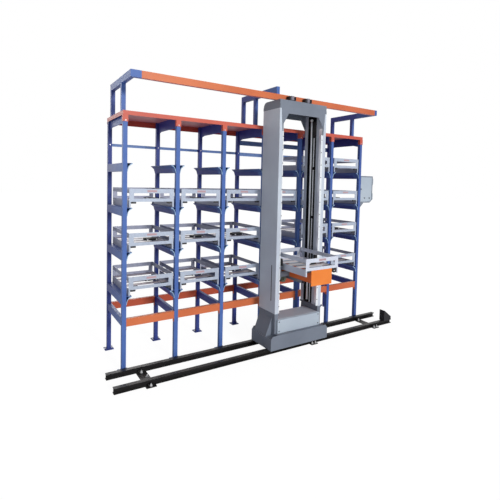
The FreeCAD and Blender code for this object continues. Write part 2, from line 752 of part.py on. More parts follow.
def pedestal(side):
    """A closed foot under a column, wider at the bottom of its rear side."""
    outline = [
        ("mastFront", "deckTop"),
        ("baseBack - mastSkin", "deckTop"),
        ("pedestalBack - mastSkin", PEDESTAL_TOP),
        ("mastFront", PEDESTAL_TOP),
    ]
    back = [
        ("baseBack - mastSkin", "deckTop"),
        ("baseBack", "deckTop"),
        ("pedestalBack", PEDESTAL_TOP),
        ("pedestalBack - mastSkin", PEDESTAL_TOP),
    ]
    outer, inner = sided(side, "mastHalf - mastSkin", "mastHalf"), sided(side, MAST_IN, f"{MAST_IN} + mastSkin")
    full, gap = sided(side, MAST_IN, "mastHalf"), sided(side, f"{MAST_IN} + mastSkin", "mastHalf - mastSkin")
    reach = "leftRib" if side < 0 else "rightRib"
    flare_top = "sideDeck + ribRise - flareInset"
    rib = [("mastHalf", "sideDeck"), (f"mastHalf + {reach}", "sideDeck"), ("mastHalf", "sideDeck + ribRise")]
    flare = [
        ("mastHalf", flare_top),
        (f"mastHalf + {reach} - flareInset", "sideDeck"),
        (f"mastHalf + {reach} - flareInset - mastSkin", "sideDeck"),
        ("mastHalf", f"{flare_top} - 2*mastSkin"),
    ]
    rib, flare = ([(f"{side}*({x})", z) for x, z in corners] for corners in (rib, flare))
    return [
        profile("pedestal_rib", "XZ_Plane", rib, "plate", "ribY"),
        profile("pedestal_flare", "XZ_Plane", flare, "pedestalBack - ribY - plate", "ribY + plate"),
        profile("pedestal_outer", "YZ_Plane", outline, "mastSkin", outer[0]),
        profile("pedestal_inner", "YZ_Plane", outline, "mastSkin", inner[0]),
        profile("pedestal_back", "YZ_Plane", back, "mastThick", full[0]),
        slab("pedestal_front", gap, ("mastFront", "mastFront + mastSkin"), ("deckTop", PEDESTAL_TOP)),
        slab("collar", sided(side, f"{MAST_IN} - collarReach", "mastHalf + collarReach"),
             ("mastFront - collarReach", "mastBack + collarReach"), (PEDESTAL_TOP, "mastLow")),
    ]


def column(side):
    """A folded column, open to the inside between its two lips."""
    web = slab("column_web", sided(side, "mastHalf - mastSkin", "mastHalf"), MAST_Y, MAST_Z)
    if side < 0:
        slot = slab("column_slot", sided(side, "mastHalf - mastSkin", "mastHalf"), span("slotY", "slotWide"),
                    ("slotLow", "slotHigh"))
        web = cut("column_web", web, slot)
    flange, lip = sided(side, MAST_IN, "mastHalf - mastSkin"), sided(side, MAST_IN, f"{MAST_IN} + mastSkin")
    return [
        web,
        slab("front_flange", flange, ("mastFront", "mastFront + mastSkin"), MAST_Z),
        slab("back_flange", flange, ("mastBack - mastSkin", "mastBack"), MAST_Z),
        slab("front_lip", lip, ("mastFront + mastSkin", "mastFront + frontLip"), MAST_Z),
        slab("back_lip", lip, ("mastBack - backLip", "mastBack - mastSkin"), MAST_Z),
    ]


node("column_pedestals", pedestal(-1) + pedestal(1), x="craneX")
node("column_left", column(-1), x="craneX")
node("column_right", column(1), x="craneX")


def rounded_block(name, wall):
    """The crown's outline along X, set in by the wall, with its rear top edge rounded."""
    x = ("-mastHalf" + wall[0], "mastHalf" + wall[1])
    top, back, turn = "crownTop" + wall[1], "mastBack" + wall[1], f"(crownRound{wall[1]})"
    front = "mastFront" + wall[0]
    solid = fuse(
        name + "_solid",
        slab(name + "_front", x, (front, f"{back} - {turn}"), ("mastTop", top)),
        slab(name + "_rear", x, (f"{back} - {turn}", back), ("mastTop", f"{top} - {turn}")),
        rod(name + "_round", "x", turn, f"{x[1]} - ({x[0]})", x[0], f"{back} - {turn}", f"{top} - {turn}"),
    )
    return common(name, solid, slab(name + "_limit", x, (front, back), ("mastTop", top)))


crown = cut("crown", rounded_block("crown_outside", ("", "")),
            rounded_block("crown_inside", (" + mastSkin", " - mastSkin")))
node("column_crown", [crown], x="craneX")

arch_outline = []
for side in (-1, 1):
    half = [
        (f"{side}*mastHalf", "crownTop - crownRound"),
        (f"{side}*mastHalf", "mastTop"),
        (f"{side}*gussetHead", "mastTop"),
        (f"{side}*gussetFoot", "gussetLow"),
        (f"{side}*gussetInner", "gussetLow"),
        (f"{side}*gussetInner", "gussetKnee"),
        (f"{side}*archHalf", "archTop"),
    ]
    arch_outline += half if side < 0 else half[::-1]
node("crown_plates", [
    profile("crown_front_plate", "XZ_Plane", arch_outline, "plate", "mastFront - plate"),
    profile("crown_back_plate", "XZ_Plane", arch_outline, "plate", "mastBack"),
], x="craneX")

GUIDE_Y = ("mastFront + plate", "mastFront + plate + guideDeep")
GUIDE_IN = f"({MAST_IN} - guideThick)"
node("guide_rails", [
    slab("guide_rail", sided(side, GUIDE_IN, MAST_IN), GUIDE_Y, ("guideLow", "guideTop")) for side in (-1, 1)
], x="craneX")

PANEL_Y = ("mastFront - panelDeep", "mastFront")
PANEL_Z = ("deckTop", "coverTop")
node("cover_panel", [
    slab("panel_face", ("-panelHalf", "panelHalf"), (PANEL_Y[0], f"{PANEL_Y[0]} + skin"), PANEL_Z),
    slab("panel_top", ("-panelHalf", "panelHalf"), (f"{PANEL_Y[0]} + skin", PANEL_Y[1]), ("coverTop - skin", "coverTop")),
    *[slab("panel_side", sided(side, "panelHalf - skin", "panelHalf"), (f"{PANEL_Y[0]} + skin", PANEL_Y[1]),
           ("deckTop", "coverTop - skin")) for side in (-1, 1)],
], x="craneX")
node("cover_box", [
    slab("cover_top", (f"-{MAST_IN}", MAST_IN), ("mastFront", "coverBack"), ("coverTop", "coverTop + plate")),
    slab("cover_back", (f"-{MAST_IN}", MAST_IN), ("coverBack - plate", "coverBack"), PANEL_Z),
], x="craneX")
node("travel_gearmotor", [
    rod("travel_motor", "x", "motorRadius", "motorLong", "0", "(frontTrack + backTrack)/2", "deckTop + motorRadius"),
    slab("travel_gearbox", ("-gearboxLong", "0"), span("(frontTrack + backTrack)/2", "2*motorRadius"),
         ("deckTop", "deckTop + 2*motorRadius")),
], x="craneX")

# ---------------------------------------------------------------- lift drive
SCREW_X = "(mastHalf - screwInset)"
JOURNALS = (("mastLow", "mastLow + journalHigh"), ("screwTop - journalHigh", "screwTop"))
fixed_drive = []
for side in (-1, 1):
    for z in JOURNALS:
        journal = slab("journal", sided(side, f"{SCREW_X} - journalWide/2", "mastHalf - mastSkin"),
                       span("screwY", "journalWide"), z)
        bore = rod("journal_bore", "z", "screwRadius + spinGap", "journalHigh", f"{side}*{SCREW_X}", "screwY", z[0])
        fixed_drive.append(cut("journal", journal, bore))
    fixed_drive.append(rod("guide_rod", "z", "rodRadius", "rodTop - mastLow", f"{side}*{SCREW_X}", "rodY", "mastLow"))
    fixed_drive.append(slab("rod_head", sided(side, f"{MAST_IN} + mastSkin", "mastHalf - mastSkin"),
                            ("rodY - rodHeadFront", "rodY + rodHeadBack"), ("rodTop", "rodTop + rodHead")))
    for z in ("lowClamp", "highClamp"):
        clamp = slab("rod_clamp", sided(side, f"{SCREW_X} - 2*rodRadius", "mastHalf - mastSkin"),
                     span("rodY", "4*rodRadius"), (z, f"{z} + rodClamp"))
        fixed_drive.append(cut("rod_clamp", clamp, rod("clamp_bore", "z", "rodRadius", "rodClamp",
                                                       f"{side}*{SCREW_X}", "rodY", z)))
    node("lift_screw_left" if side < 0 else "lift_screw_right", [
        rod("lift_screw", "z", "screwRadius", "screwTop - mastLow - 2*glideGap",
            f"{side}*{SCREW_X}", "screwY", "mastLow + glideGap"),
    ], x="craneX")
node("screw_journals", fixed_drive, x="craneX")

# ---------------------------------------------------------------- top guide rollers
ROLLER_Y = {
    "front": "(aisleRailFront - glideGap - rollerRadius)",
    "back": "(aisleRailFront + aisleRailDeep + glideGap + rollerRadius)",
}
ROLLER_LOW = "(crownTop + seatThick + rollerSeat)"
seats = []
for side, name in ((-1, "left"), (1, "right")):
    x = f"({side}*rollerX + rollerShift)"
    seats.append(slab("roller_seat", span(x, "seatWide"),
                      (f"{ROLLER_Y['front']} - rollerRadius", f"{ROLLER_Y['back']} + rollerRadius"),
                      ("crownTop", "crownTop + seatThick")))
    for place_name, y in ROLLER_Y.items():
        seats.append(rod("roller_collar", "z", "1.6*rollerPin", "rollerSeat - glideGap", x, y, "crownTop + seatThick"))
        seats.append(rod("roller_pin", "z", "rollerPin", "rollerHigh + 2*glideGap", x, y, f"{ROLLER_LOW} - glideGap"))
        seats.append(rod("roller_head", "z", "1.6*rollerPin", "rollerPin", x, y, f"{ROLLER_LOW} + rollerHigh + glideGap"))
        ring = rod("roller", "z", "rollerRadius", "rollerHigh", x, y, ROLLER_LOW)
        bore = rod("roller_bore", "z", "rollerPin + spinGap", "rollerHigh", x, y, ROLLER_LOW)
        node(f"guide_roller_{place_name}_{name}", [cut("roller", ring, bore)], x="craneX")
node("roller_seats", seats, x="craneX")

# ---------------------------------------------------------------- lifting carriage
BED_Y = ("bedFront + bedSkin", "bedBack")
SHOE_Z = ("shoeLow", "shoeLow + shoeHigh")
SHOE_IN = f"({GUIDE_IN} - glideGap - shoeThick)"
frame_parts = []
for side in (-1, 1):
    frame_parts.append(slab("shoe", sided(side, SHOE_IN, f"{SHOE_IN} + shoeThick"),
                            ("mastFront", f"{GUIDE_Y[1]} + glideGap + shoeCheek"), SHOE_Z))
    frame_parts.append(slab("shoe_cheek", sided(side, f"{SHOE_IN} + shoeThick", f"{MAST_IN} - glideGap"),
                            (f"{GUIDE_Y[1]} + glideGap", f"{GUIDE_Y[1]} + glideGap + shoeCheek"), SHOE_Z))
    frame_parts.append(slab("front_cross_beam", sided(side, "bedHalf", SHOE_IN),
                            ("mastFront", "mastFront + crossSize"), ("crossLow", "crossLow + crossSize")))
    nut_z = ("crossLow", "crossLow + nutHigh")
    frame_parts.append(slab("nut_arm", sided(side, "bedHalf", f"{SCREW_X} - nutSide/2"), span("screwY", "nutSide"), nut_z))
    nut = slab("nut", span(f"{side}*{SCREW_X}", "nutSide"), span("screwY", "nutSide"), nut_z)
    frame_parts.append(cut("nut", nut, rod("nut_bore", "z", "screwRadius + spinGap", "nutHigh",
                                           f"{side}*{SCREW_X}", "screwY", "crossLow")))
    frame_parts.append(tube("under_channel", "y", span(f"{side}*channelX", "channelWide"),
                            ("channelFront", "channelBack"), ("bedLow - channelHigh", "bedLow"), "skin"))
node("carriage_frame", frame_parts, x="craneX")

FIXED_STAGE_Z = ("bedLow + bedSkin", "beamTop")
STAGE_Y = ("stageFront", "stageFront + stageLong")
node("carriage_bed", [
    slab("bed_panel", ("-bedHalf", "bedHalf"), ("bedFront", "bedFront + bedSkin"), ("bedPanelLow", "bedTop")),
    slab("bed_floor", ("-bedHalf + bedSkin", "bedHalf - bedSkin"), BED_Y, ("bedLow", "bedLow + bedSkin")),
    *[slab("bed_side", sided(side, "bedHalf - bedSkin", "bedHalf"), BED_Y, ("bedLow", "bedTop")) for side in (-1, 1)],
], x="craneX")

MIDDLE_Z = ("beamTop + glideGap", "beamTop + glideGap + middlePlate")
TOP_Z = (f"{MIDDLE_Z[1]} + glideGap", "homeLevel + sillLow")
MIDDLE_WEB = ("beamHalf + glideGap", "beamHalf + glideGap + stageWeb")
TOP_WEB = (f"{MIDDLE_WEB[1]} + glideGap", f"{MIDDLE_WEB[1]} + glideGap + stageWeb")
STAGE_WALL_Z = (f"{FIXED_STAGE_Z[0]} + bedSkin", f"{FIXED_STAGE_Z[1]} - bedSkin")
node("fork_fixed_stage", [
    slab("stage_floor", ("-beamHalf", "beamHalf"), STAGE_Y, (FIXED_STAGE_Z[0], STAGE_WALL_Z[0])),
    slab("stage_roof", ("-beamHalf", "beamHalf"), STAGE_Y, (STAGE_WALL_Z[1], FIXED_STAGE_Z[1])),
    *[slab("stage_side", sided(side, "beamHalf - bedSkin", "beamHalf"), STAGE_Y, STAGE_WALL_Z) for side in (-1, 1)],
], x="craneX")
node("fork_middle_stage", [
    slab("middle_plate", (f"-({MIDDLE_WEB[1]})", MIDDLE_WEB[1]), STAGE_Y, MIDDLE_Z),
    *[slab("middle_web", sided(side, *MIDDLE_WEB), STAGE_Y, (f"{MIDDLE_Z[0]} - webDrop", MIDDLE_Z[0]))
      for side in (-1, 1)],
], x="craneX")
node("fork_top_stage", [
    slab("top_plate", ("-topHalf", "topHalf"), STAGE_Y, TOP_Z),
    *[slab("top_web", sided(side, *TOP_WEB), STAGE_Y, (f"{TOP_Z[0]} - webDrop", TOP_Z[0])) for side in (-1, 1)],
], x="craneX")
node("fork_gearmotor", [
    rod("fork_motor", "z", "forkMotorRadius", "forkMotorHigh", "forkMotorX", "forkMotorY", "crossLow - forkMotorHigh"),
    slab("fork_gearbox", ("forkMotorX - forkGearDeep/2", "-bedHalf"), span("forkMotorY", "forkGearDeep"),
         ("crossLow", "crossLow + forkGearHigh")),
], x="craneX")
node("carriage_tray", tray, x="craneX", y="homeFront", z="homeLevel")

# ---------------------------------------------------------------- checks and export
doc.recompute()
failed = [item.Name for item in doc.Objects if {"Invalid", "Error"} & set(item.State)]
if failed:
    raise RuntimeError(f"objects that failed: {failed}")
for item in nodes:
    if item.Shape.isNull() or not item.Shape.isValid() or not item.Shape.Solids:
        raise RuntimeError(f"{item.Label} has no valid solid")
os.makedirs("parts", exist_ok=True)
for item in nodes:
    item.Shape.exportStep(f"parts/{item.Label}.step")
    box = item.Shape.BoundBox
    print(f"{item.Label}: {len(item.Shape.Solids)} solids, x {box.XMin:.1f} {box.XMax:.1f}, "
          f"y {box.YMin:.1f} {box.YMax:.1f}, z {box.ZMin:.1f} {box.ZMax:.1f}")
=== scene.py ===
import bmesh
import bpy
import json
import math
from mathutils import Matrix, Vector


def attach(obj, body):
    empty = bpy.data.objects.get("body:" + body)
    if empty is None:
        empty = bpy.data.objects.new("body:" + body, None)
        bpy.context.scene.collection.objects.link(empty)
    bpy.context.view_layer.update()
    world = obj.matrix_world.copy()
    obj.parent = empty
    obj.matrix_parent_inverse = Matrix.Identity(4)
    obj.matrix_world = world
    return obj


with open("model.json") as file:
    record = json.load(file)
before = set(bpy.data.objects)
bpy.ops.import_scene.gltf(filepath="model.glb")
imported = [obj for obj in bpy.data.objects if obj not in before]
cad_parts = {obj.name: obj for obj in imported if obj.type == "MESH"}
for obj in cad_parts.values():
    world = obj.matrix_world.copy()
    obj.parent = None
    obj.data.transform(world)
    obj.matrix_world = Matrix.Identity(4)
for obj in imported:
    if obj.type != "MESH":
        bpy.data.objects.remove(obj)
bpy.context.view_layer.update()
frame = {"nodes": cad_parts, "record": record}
nodes = frame["nodes"]
print("frame loaded:", len(nodes), "nodes")

# sizes that places are worked out from: the rack's grid, and the corners of the stored and carried trays
rack = {"frames": 7, "bay": 0.65, "depth": 0.732, "postHalf": 0.025, "lowest": 0.9, "pitch": 0.523,
        "levels": 4, "craneBay": 4}
tray = {"inset": 0.05, "front": -0.023, "lift": 0.0003, "carried": (-0.275, -0.918, 1.108)}
levelHeights = [rack["lowest"] + number * rack["pitch"] for number in range(rack["levels"])]
craneX = (rack["craneBay"] - 0.5) * rack["bay"]  # the crane's middle, which the carried tray is placed from

cameraSet = {
    "place": (-1.2388, -4.6519, 2.2827),
    "yaw": 32.333,  # degrees from +Y towards +X
    "pitch": -2.865,
    "roll": 1.294,
    "lens": 28.47,
    "shift": (0.0035, -0.0969),
    "farthest": 100,
}


def addCamera():
    yaw, pitch, roll = (math.radians(cameraSet[key]) for key in ("yaw", "pitch", "roll"))
    ahead = Vector((math.sin(yaw) * math.cos(pitch), math.cos(yaw) * math.cos(pitch), math.sin(pitch)))
    right = Vector((math.cos(yaw), -math.sin(yaw), 0))
    up = right.cross(ahead)
    rolledRight = math.cos(roll) * right + math.sin(roll) * up
    rolledUp = math.cos(roll) * up - math.sin(roll) * right
    data = bpy.data.cameras.new("camera")
    data.lens = cameraSet["lens"]
    data.shift_x, data.shift_y = cameraSet["shift"]
    data.clip_end = cameraSet["farthest"]
    camera = bpy.data.objects.new("camera", data)
    turn = Matrix((rolledRight, rolledUp, -ahead)).transposed().to_4x4()
    camera.matrix_world = Matrix.Translation(cameraSet["place"]) @ turn
    bpy.context.scene.collection.objects.link(camera)
    bpy.context.scene.camera = camera


addCamera()
print("camera set")


# shader maths written as Python expressions
class Sock:
    def __init__(self, finish, out):
        self.finish = finish
        self.out = out

    def maths(self, operation, first, second=0.0):
        return self.finish.node("ShaderNodeMath", {"operation": operation}, {0: first, 1: second})

    def __add__(self, other):
        return self.maths("ADD", self, other)

    def __radd__(self, other):
        return self.maths("ADD", other, self)

    def __sub__(self, other):
        return self.maths("SUBTRACT", self, other)

    def __rsub__(self, other):
        return self.maths("SUBTRACT", other, self)

    def __mul__(self, other):
        return self.maths("MULTIPLY", self, other)

    def __rmul__(self, other):
        return self.maths("MULTIPLY", other, self)

    def __mod__(self, other):
        return self.maths("FLOORED_MODULO", self, other)

    def __gt__(self, other):
        return self.maths("GREATER_THAN", self, other)

    def __lt__(self, other):
        return self.maths("LESS_THAN", self, other)

    def __abs__(self):
        return self.maths("ABSOLUTE", self)


# one material, with the nodes and masks that its colours are mixed from
class Finish:
    def __init__(self, name, **values):
        self.material = bpy.data.materials.new(name)
        self.material.use_nodes = True
        self.tree = self.material.node_tree
        self.shader = self.tree.nodes["Principled BSDF"]
        for key, value in values.items():
            self.set(key, value)
        self.place = self.node("ShaderNodeTexCoord", output="Object")

    def feed(self, socket, value):
        if isinstance(value, Sock):
            self.tree.links.new(value.out, socket)
        else:
            socket.default_value = value

    def set(self, key, value):
        self.feed(self.shader.inputs[key.replace("_", " ")], value)

    def node(self, kind, settings=None, values=None, output=0):
        node = self.tree.nodes.new(kind)
        for key, value in (settings or {}).items():
            setattr(node, key, value)
        for key, value in (values or {}).items():
            self.feed(node.inputs[key], value)
        return Sock(self, node.outputs[output])

    def noise(self, scale, detail, stretch=None, rough=0.5):
        place = self.place
        if stretch is not None:
            place = self.node("ShaderNodeMapping", None, {0: self.place, 3: stretch})
        values = {"Vector": place, "Scale": scale, "Detail": detail, "Roughness": rough}
        return self.node("ShaderNodeTexNoise", None, values)

    def ramp(self, value, low, high):
        return self.node("ShaderNodeMapRange", {"clamp": True}, {0: value, 1: low, 2: high})

    def patches(self, low, high, **noise):
        return self.ramp(self.noise(**noise), low, high)

    def mix(self, mask, first, second):
        return self.node("ShaderNodeMix", {"data_type": "RGBA"}, {0: mask, 6: first, 7: second}, 2)

    def split(self, vector):
        parts = self.node("ShaderNodeSeparateXYZ", None, {0: vector}).out.node.outputs
        return [Sock(self, part) for part in parts]

    def axes(self):
        return self.split(self.place)

    def facing(self):
        return self.split(self.node("ShaderNodeNewGeometry", output="Normal"))

    def upwards(self):
        return self.facing()[2]

    def sideways(self):
        return abs(self.facing()[0])

    def bump(self, height, strength, distance):
        values = {"Strength": strength, "Distance": distance, "Height": height}
        self.set("Normal", self.node("ShaderNodeBump", None, values))


# a screen colour in levels from 0 to 255 as the linear colour that a shader takes
def colour(*levels):
    shares = [level / 255 for level in levels]
    linear = [share / 12.92 if share < 0.04045 else ((share + 0.055) / 1.055) ** 2.4 for share in shares]
    return (*linear, 1)


# paints: colour with darker patches, and where there is one: painted shade that deepens towards the rear and
# the right, painted shade on faces turned sideways, painted shade with reflected blue on undersides, and
# painted shadow inside a folded column
paints = {
    "rackBlue": {"paint": (88, 120, 186), "dark": (74, 104, 174), "deep": (50, 54, 128),
                 "side": (48, 46, 138), "rough": 0.42, "dust": 0.02, "gloss": 0.2},
    # a lighter copy of the rack's blue for the rear ties: painted light, without the deeper shade
    "litTieBlue": {"paint": (118, 148, 202), "dark": (102, 132, 190), "rough": 0.42, "dust": 0.02, "gloss": 0.2},
    "rackOrange": {"paint": (220, 122, 78), "dark": (206, 108, 66), "deep": (176, 70, 50),
                   "under": (206, 128, 134), "rough": 0.4, "dust": 0.05},
    "roofOrange": {"paint": (214, 104, 84), "dark": (200, 92, 76), "deep": (180, 66, 56),
                   "under": (206, 128, 134), "rough": 0.4, "dust": 0.03},
    "carriageOrange": {"paint": (246, 142, 62), "dark": (232, 124, 50), "side": (206, 84, 48),
                       "sideFrom": (-1.0, -0.95), "rough": 0.38, "dust": 0.03},
    "railBlack": {"paint": (22, 20, 21), "dark": (12, 11, 12), "rough": 0.36, "dust": 0.02, "gloss": 0.3},
    "mastGrey": {"paint": (206, 216, 228), "dark": (192, 200, 214), "hollow": (34, 34, 40), "rough": 0.45,
                 "dust": 0.03},
    "darkGrey": {"paint": (124, 132, 146), "dark": (110, 118, 132), "rough": 0.5, "dust": 0.04},
    "cabinetGrey": {"paint": (182, 194, 206), "dark": (170, 182, 196), "rough": 0.55, "dust": 0.03},
    "motorGreen": {"paint": (112, 118, 104), "dark": (96, 102, 90), "rough": 0.45, "dust": 0.08},
    "castBlack": {"paint": (40, 40, 44), "dark": (28, 28, 32), "rough": 0.6, "dust": 0.06},
    # painted highlight on the tray rails' front edges
    "paintedEdgeHighlight": {"paint": (176, 208, 234), "dark": (156, 190, 222), "rough": 0.35, "dust": 0.02},
    "coverWhite": {"paint": (240, 244, 248), "dark": (228, 234, 240), "rough": 0.3, "dust": 0.02},
    "knobWhite": {"paint": (240, 240, 242), "dark": (224, 226, 230), "rough": 0.3, "dust": 0.02},
    "screwDark": {"paint": (46, 48, 54), "dark": (34, 36, 42), "rough": 0.4, "dust": 0.03},
}
coat = {
    "gloss": 0.28,
    "cloud": {"scale": 1.7, "detail": 4, "low": 0.35, "high": 0.68},
    # how far a face turns down before the painted shade on undersides sets in
    "under": (0.5, 0.9),
    "dust": (196, 192, 184),
    "settled": {"scale": 9, "detail": 5, "rough": 0.65, "low": 0.42, "high": 0.75},
    "settledTop": (0.2, 0.9),
    "settledMore": 4,
    "scuffs": {"scale": 26, "detail": 6, "stretch": (1, 1, 0.15), "rough": 0.7, "low": 0.66, "high": 0.74},
    "sheen": {"scale": 14, "detail": 4},
    "sheenLow": 0.06,
    "sheenSpan": 0.14,
    "grain": {"scale": 420, "detail": 1},
    "grainBump": (0.12, 0.0006),
}
# painted shade deepening towards the right and the rear
paintedDepthShade = {"x": (2.2, 3.3, 0.3), "y": (0.12, 0.74, 0.8)}  # where it starts and ends, and the share it reaches
# painted shade on faces turned sideways: how far they face sideways, the x and y it grows over, and its most
paintedSideShade = {"facing": (0.6, 0.9), "x": (0.1, 0.4), "y": (0.055, 0.1), "most": 0.65}
# painted shadow in the space inside a folded column
hollow = {"x": (0.3575, 0.4015), "y": (-0.4645, -0.0915)}  # inside a folded column, x from the crane's middle


# painted shade that depends on the place: deeper towards the rear and the right, on faces turned sideways,
# and inside a folded column
def paintedShadeByPlace(finish, look, body):
    x, y, _ = finish.axes()
    # painted shade, deeper towards the right and the rear
    if "deep" in look:
        for place, (start, end, most) in ((x, paintedDepthShade["x"]), (y, paintedDepthShade["y"])):
            body = finish.mix(finish.ramp(place, start, end) * most, body, colour(*look["deep"]))
    # painted shade on faces turned sideways
    if "side" in look:
        shaded = finish.ramp(finish.sideways(), *paintedSideShade["facing"]) * finish.ramp(x, *paintedSideShade["x"])
        shaded = shaded * finish.ramp(y, *look.get("sideFrom", paintedSideShade["y"]))
        body = finish.mix(shaded * paintedSideShade["most"], body, colour(*look["side"]))
    # painted shadow inside the folded column
    if "hollow" in look:
        (inner, outer), (front, back) = hollow["x"], hollow["y"]
        across = abs(x - craneX)
        inside = (across > inner) * (across < outer) * (y > front) * (y < back)
        body = finish.mix(inside, body, colour(*look["hollow"]))
    return body


def powderCoat(name):
    look = paints[name]
    dust = colour(*coat["dust"])
    finish = Finish(name, Specular_IOR_Level=look.get("gloss", coat["gloss"]))
    body = finish.mix(finish.patches(**coat["cloud"]), colour(*look["dark"]), colour(*look["paint"]))
    if look.keys() & {"deep", "side", "hollow"}:
        body = paintedShadeByPlace(finish, look, body)
    # painted shade with reflected blue on undersides
    if "under" in look:
        body = finish.mix(finish.ramp(-1 * finish.upwards(), *coat["under"]), body, colour(*look["under"]))
    settled = finish.patches(**coat["settled"]) * finish.ramp(finish.upwards(), *coat["settledTop"])
    body = finish.mix(settled * look["dust"] * coat["settledMore"], body, dust)
    body = finish.mix(finish.patches(**coat["scuffs"]) * look["dust"], body, dust)
    finish.set("Base_Color", body)
    sheen = coat["sheenSpan"] * finish.noise(**coat["sheen"])
    finish.set("Roughness", look["rough"] - coat["sheenLow"] + sheen)
    finish.bump(finish.noise(**coat["grain"]), *coat["grainBump"])
    return finish.material


steels = {
    "guideSteel": {"light": (246, 248, 252), "dark": (214, 218, 226), "metal": 0.9, "rough": 0.3,
                   "grain": (1, 1, 0.02)},
    "forkAluminium": {"light": (190, 193, 198), "dark": (150, 154, 162), "metal": 0.6, "rough": 0.35,
                      "grain": (1, 0.03, 1)},
    "boltZinc": {"light": (236, 236, 236), "dark": (196, 198, 202), "metal": 0.5, "rough": 0.3,
                 "grain": (1, 1, 1)},
}
brushing = {"grain": {"scale": 900, "detail": 3}, "grainShare": 0.6, "grainRough": 0.12,
            "stain": {"scale": 6, "detail": 4, "low": 0.3, "high": 0.75}, "stainShare": 0.4,
            "bump": (0.08, 0.0003)}


def brushedSteel(name):
    look = steels[name]
    finish = Finish(name, Metallic=look["metal"])
    grain = finish.noise(stretch=look["grain"], **brushing["grain"])
    stain = finish.patches(**brushing["stain"])
    mask = grain * brushing["grainShare"] + stain * brushing["stainShare"]
    finish.set("Base_Color", finish.mix(mask, colour(*look["dark"]), colour(*look["light"])))
    finish.set("Roughness", look["rough"] + brushing["grainRough"] * grain)
    finish.bump(grain, *brushing["bump"])
    return finish.material


# galvanised sheet, painted shade on its insides, and the slats: duller in the rack than on the carriage,
# where the slats' near-white is a painted reflection
trayTones = {
    "storedTray": {"zinc": (185, 196, 213), "dark": (163, 172, 190), "inner": (142, 142, 164),
                   "slat": (150, 132, 136), "slatMetal": 0.3},
    # the carriage's tray: its near-white slats are a painted reflection
    "carriedTray": {"zinc": (226, 232, 246), "dark": (204, 210, 226), "inner": (184, 190, 204),
                    "slat": (255, 244, 240), "slatMetal": 0.1},
}
trayLook = {
    "metal": 0.25,
    "spangle": 70.0,
    "streak": {"scale": 8, "detail": 5, "stretch": (1, 1, 0.4), "rough": 0.6},
    "flakeShare": 0.4,
    "streakShare": 0.6,
    # the painted shade on the insides: its share of the streaks, its least share, and how far behind the
    # front it sets in
    "innerShare": 0.4,
    "innerLeast": 0.45,
    "innerFrom": (0.01, 0.03),
    "slatZone": (0.07, 0.08, 0.2705),  # low, high, half width
    "slatFacing": 0.5,
    "slatWear": (0.3, 0.7),
    "slatWorn": 0.2,
    "padZone": (0.045, 0.0708, 0.252),
    "pad": (38, 38, 42),
    "label": (190, 172, 182),
    "labelProud": 0.0002,
    "labelHeight": 0.198,
    "labelBand": (178, 126, 130),
    "bandHalf": 0.006,
    "bandShare": 0.7,
    "rough": 0.36,
    "flakeRough": 0.18,
    "bump": (0.05, 0.0004),
}


def trayFinish(name, front, base):
    tones, look = trayTones[name], trayLook
    finish = Finish(name)
    x, y, z = finish.axes()
    height = (z - base) % rack["pitch"]
    across = abs(x % rack["bay"] - rack["bay"] / 2)
    cells = {"Vector": finish.place, "Scale": look["spangle"]}
    spangle = finish.node("ShaderNodeTexVoronoi", None, cells, "Color")
    flake = finish.node("ShaderNodeSeparateColor", None, {0: spangle})
    streak = finish.noise(**look["streak"])
    mask = flake * look["flakeShare"] + streak * look["streakShare"]
    zinc = finish.mix(mask, colour(*tones["dark"]), colour(*tones["zinc"]))
    # painted shade on the tray's insides, behind its front
    inside = finish.mix(streak * look["innerShare"] + look["innerLeast"], zinc, colour(*tones["inner"]))
    start, end = (front + depth for depth in look["innerFrom"])
    body = finish.mix(finish.ramp(y, start, end), zinc, inside)
    low, high, half = look["slatZone"]
    onSlat = (finish.upwards() > look["slatFacing"]) * (height < high) * (height > low) * (across < half)
    # the slats' tone, on the carriage's tray a painted reflection, with worn streaks
    slat = finish.mix(finish.ramp(streak, *look["slatWear"]) * look["slatWorn"], colour(*tones["slat"]), body)
    low, high, half = look["padZone"]
    onPad = (height < high) * (height > low) * (across < half)
    onLabel = y < front - look["labelProud"]
    band = abs(height - look["labelHeight"]) < look["bandHalf"]
    body = finish.mix(onSlat, body, slat)
    body = finish.mix(onPad, body, colour(*look["pad"]))
    body = finish.mix(onLabel, body, colour(*look["label"]))
    body = finish.mix(onLabel * band * look["bandShare"], body, colour(*look["labelBand"]))
    finish.set("Base_Color", body)
    plain = look["metal"] * (1 - onPad) * (1 - onLabel) * (1 - onSlat)
    finish.set("Metallic", plain + onSlat * tones["slatMetal"])
    finish.set("Roughness", look["rough"] + look["flakeRough"] * flake)
    finish.bump(flake, *look["bump"])
    return finish.material


rollerLook = {"light": (136, 132, 146), "dark": (112, 108, 122), "rough": 0.5,
              "wear": {"scale": 60, "detail": 4, "low": 0.4, "high": 0.7},
              "grain": {"scale": 500, "detail": 2}, "bump": (0.1, 0.0003)}


def rollerPlastic():
    look = rollerLook
    finish = Finish("rollerPlastic", Roughness=look["rough"])
    wear = finish.patches(**look["wear"])
    finish.set("Base_Color", finish.mix(wear, colour(*look["dark"]), colour(*look["light"])))
    finish.bump(finish.noise(**look["grain"]), *look["bump"])
    return finish.material


